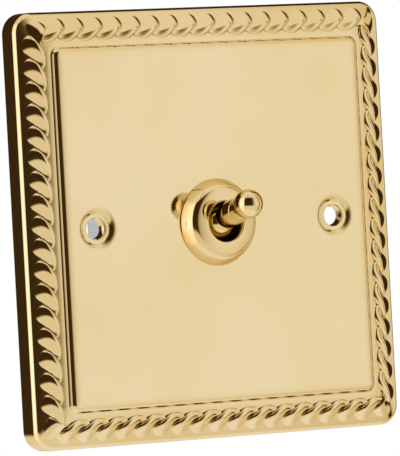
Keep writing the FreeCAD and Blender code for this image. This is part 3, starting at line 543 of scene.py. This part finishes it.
def buildDolly(size):
    ballNeck = size["ballCentre"] - math.sqrt(size["ball"] ** 2 - size["groove"] ** 2)
    tipTop = ballNeck - size["grooveWidth"]
    neckTop = math.sqrt(size["pivotBall"] ** 2 - size["neck"] ** 2)
    stemTop = -math.sqrt(size["pivotBall"] ** 2 - size["stem"] ** 2)
    crown = (0, size["ballCentre"] + size["ball"])
    under = (size["groove"], ballNeck)
    lipOuter = (size["lip"], size["lipStart"] + size["lipRound"])
    lipUnder = (size["lip"] - size["lipRound"], size["lipStart"])
    neckEnd = (size["neck"], neckTop)
    stemStart = (size["stem"], stemTop)
    profile = [crown] + arcPoints(crown, under, size["ball"], size["ballSteps"]) + [under]
    profile += [(size["groove"], tipTop), (size["tip"] - size["chamfer"], tipTop)]
    profile += [(size["tip"], tipTop - size["chamfer"]), lipOuter]
    profile += arcPoints(lipOuter, lipUnder, size["lipRound"], size["lipSteps"]) + [lipUnder]
    profile += [(size["root"], size["lipStart"]), (size["root"], size["rootStart"])]
    profile += [(size["neck"], size["rootStart"]), neckEnd]
    profile += arcPoints(neckEnd, stemStart, size["pivotBall"], size["pivotSteps"]) + [stemStart]
    profile += [(size["stem"], -size["stemEnd"]), (size["bore"], -size["stemEnd"])]
    profile += [(size["bore"], -size["boreStart"]), (0, -size["boreStart"])]
    bm = bmesh.new()
    turnedShape(bm, profile, size["steps"])
    place = (
        Matrix.Translation((0, (size["pivotDrop"] - plate["depth"]) * mm, 0))
        @ Matrix.Rotation(math.radians(-size["tilt"]), 4, "X")
        @ toFront
    )
    bmesh.ops.transform(bm, matrix=place, verts=bm.verts[:])
    return finishPiece(
        "dollyTurned", bm, polishedBrass, "dolly_body", "dolly", size["sharp"],
    )


buildRose(roseSize)
buildDolly(dollySize)
print("rose and dolly made")


# Studio: pale floor, soft white all round, with dark and warm cards that only the brass mirrors

studio = {
    # angles in degrees, lengths in mm, and the clip in metres
    "yaw": 32.462, "pitch": 0.358, "roll": -3.102, "distance": 1279.3, "targetX": -4.515, "targetZ": -1.065,
    "lens": 473.594, "sensor": 36, "clip": (0.01, 20),
    "floorDrop": 120, "floorRadius": 1400, "floorSteps": 64, "white": 1.0, "fill": 0.8,
    "cardSteps": (30, 16),
}


def makeCamera(setup):
    yaw, pitch, roll = (math.radians(setup[k]) for k in ("yaw", "pitch", "roll"))
    back = Vector((-math.sin(yaw) * math.cos(pitch), -math.cos(yaw) * math.cos(pitch), math.sin(pitch)))
    target = Vector((setup["targetX"], -plate["depth"], setup["targetZ"])) * mm
    right = Vector((0, 0, 1)).cross(back).normalized()
    up = back.cross(right)
    rolledRight = right * math.cos(roll) + up * math.sin(roll)
    rolledUp = up * math.cos(roll) - right * math.sin(roll)
    data = bpy.data.cameras.new("camera")
    data.lens = setup["lens"]
    data.sensor_width = setup["sensor"]
    data.clip_start, data.clip_end = setup["clip"]
    camera = bpy.data.objects.new("camera", data)
    turn = Matrix((rolledRight, rolledUp, back)).transposed()
    camera.matrix_world = Matrix.Translation(target + back * setup["distance"] * mm) @ turn.to_4x4()
    bpy.context.scene.collection.objects.link(camera)
    bpy.context.scene.camera = camera


def makeWorld(setup):
    # white where the camera and the brass see it, and a little less where it lights dull surfaces
    world = bpy.data.worlds.new("studioWorld")
    bpy.context.scene.world = world
    world.use_nodes = True
    tree = world.node_tree
    tree.nodes.clear()
    rays = tree.nodes.new("ShaderNodeLightPath")
    seen = rays.outputs["Is Camera Ray"]
    for ray in ("Is Glossy Ray", "Is Transmission Ray"):
        either = addNode(tree, "ShaderNodeMath", {0: seen, 1: rays.outputs[ray]}, operation="MAXIMUM")
        seen = either.outputs[0]
    soft = addNode(tree, "ShaderNodeBackground", {"Color": (1, 1, 1, 1), "Strength": setup["fill"]})
    white = addNode(tree, "ShaderNodeBackground", {"Color": (1, 1, 1, 1), "Strength": setup["white"]})
    mix = addNode(tree, "ShaderNodeMixShader", {0: seen, 1: soft.outputs[0], 2: white.outputs[0]})
    addNode(tree, "ShaderNodeOutputWorld", {0: mix.outputs[0]})


def direction(azimuth, elevation):
    # azimuth 0 is straight in front of the plate, and positive is to the left of it
    a, e = math.radians(azimuth), math.radians(elevation)
    return Vector((-math.sin(a) * math.cos(e), -math.cos(a) * math.cos(e), math.sin(e)))


def cardMaterial(name, aroundStart, aroundEnd, upStart, upEnd, tones):
    # filters the white behind it: each side fades over its own share of the patch, through the tones
    material = bpy.data.materials.new(name)
    material.use_nodes = True
    tree = material.node_tree
    tree.nodes.clear()
    split = addNode(tree, "ShaderNodeSeparateXYZ", {0: tree.nodes.new("ShaderNodeTexCoord").outputs["UV"]})
    sides = ((0, 0.0, aroundStart), (0, 1.0, 1.0 - aroundEnd), (1, 0.0, upStart), (1, 1.0, 1.0 - upEnd))
    mask = None
    for axis, edge, full in sides:
        fade = addNode(
            tree, "ShaderNodeMapRange", {0: split.outputs[axis], 1: edge, 2: full, 3: 0.0, 4: 1.0},
            interpolation_type="SMOOTHSTEP",
        ).outputs[0]
        if mask is not None:
            fade = addNode(tree, "ShaderNodeMath", {0: mask, 1: fade}, operation="MULTIPLY").outputs[0]
        mask = fade
    if isinstance(tones, list):
        tone = ramp(tree, mask, tones)
    else:
        tone = addNode(tree, "ShaderNodeMapRange", {0: mask, 3: 1.0, 4: tones}).outputs[0]
    filtered = addNode(tree, "ShaderNodeBsdfTransparent", {"Color": tone})
    addNode(tree, "ShaderNodeOutputMaterial", {0: filtered.outputs[0]})
    return material


def addCard(name, azimuth, elevation, softAround, softUp, distance, tones):
    # a patch of the studio as the switch sees it, between two azimuths and two elevations; the soft sides
    # are in degrees too, and the distance is in metres; a number in place of the tones brightens by that much
    bm = bmesh.new()
    bm.loops.layers.uv.new("patch")
    across, high = studio["cardSteps"]
    bmesh.ops.create_grid(bm, x_segments=across, y_segments=high, size=0.5, calc_uvs=True)
    wide, tall = azimuth[1] - azimuth[0], elevation[1] - elevation[0]
    for v in bm.verts:
        v.co = direction(azimuth[0] + wide * (v.co.x + 0.5), elevation[0] + tall * (v.co.y + 0.5)) * distance
    softSides = [soft / wide for soft in softAround] + [soft / tall for soft in softUp]
    card = newObject(name, bm, cardMaterial(name, *softSides, tones))
    for ray in ("camera", "diffuse", "shadow", "transmission"):
        setattr(card, "visible_" + ray, False)


def makeFloor(setup):
    bm = bmesh.new()
    bmesh.ops.create_circle(
        bm, cap_ends=True, radius=setup["floorRadius"] * mm, segments=setup["floorSteps"],
    )
    bmesh.ops.translate(bm, verts=bm.verts[:], vec=(0, 0, -(plate["half"] + setup["floorDrop"]) * mm))
    material, tree, shader = newMaterial("paleFloor")
    setSockets(shader, Base_Color=hexColour("#F2F1EE"), Roughness=0.9)
    floor = newObject("floor", bm, material)
    floor.visible_glossy = False  # the brass mirrors the white below it instead


bpy.context.scene.view_settings.view_transform = "Standard"
makeCamera(studio)
makeWorld(studio)
makeFloor(studio)

# from the white of the tent to a dark wooden room, and to two faint warm tones
toDark = [
    (0.0, (1, 1, 1)), (0.3, (0.72, 0.66, 0.52)), (0.55, (0.38, 0.32, 0.19)), (0.8, (0.13, 0.082, 0.032)),
    (1.0, (0.046, 0.027, 0.01)),
]
toAmber = [(0.0, (1, 1, 1)), (1.0, (0.9, 0.83, 0.69))]
toCream = [(0.0, (1, 1, 1)), (1.0, (0.95, 0.9, 0.8))]
addCard("openingCard", (-30, 68), (-22, 54), (42, 9), (16, 14), 0.6, toDark)
addCard("openingSlit", (29, 37), (40, 82), (2, 2), (1, 8), 0.61, toDark)
addCard("behindCard", (127, 275), (-24, 72), (12, 14), (14, 14), 0.9, toDark)
addCard("rightSeam", (-67, -56), (-40, 50), (5, 5), (12, 12), 0.7, toDark)
addCard("leftSeam", (106, 112), (-10, 60), (2.5, 2.5), (4, 4), 0.72, toDark)
addCard("warmAbove", (-179, 179), (3, 89), (1, 1), (24, 1), 1.0, toCream)
addCard("warmBelow", (-179, 179), (-60, -3), (1, 1), (26, 24), 1.05, toAmber)
addCard("leftLight", (62, 128), (-55, 55), (14, 10), (20, 20), 1.15, 1.45)
addCard("warmRight", (-120, -37), (-60, 60), (20, 12), (20, 20), 1.1, toAmber)
print("studio made")
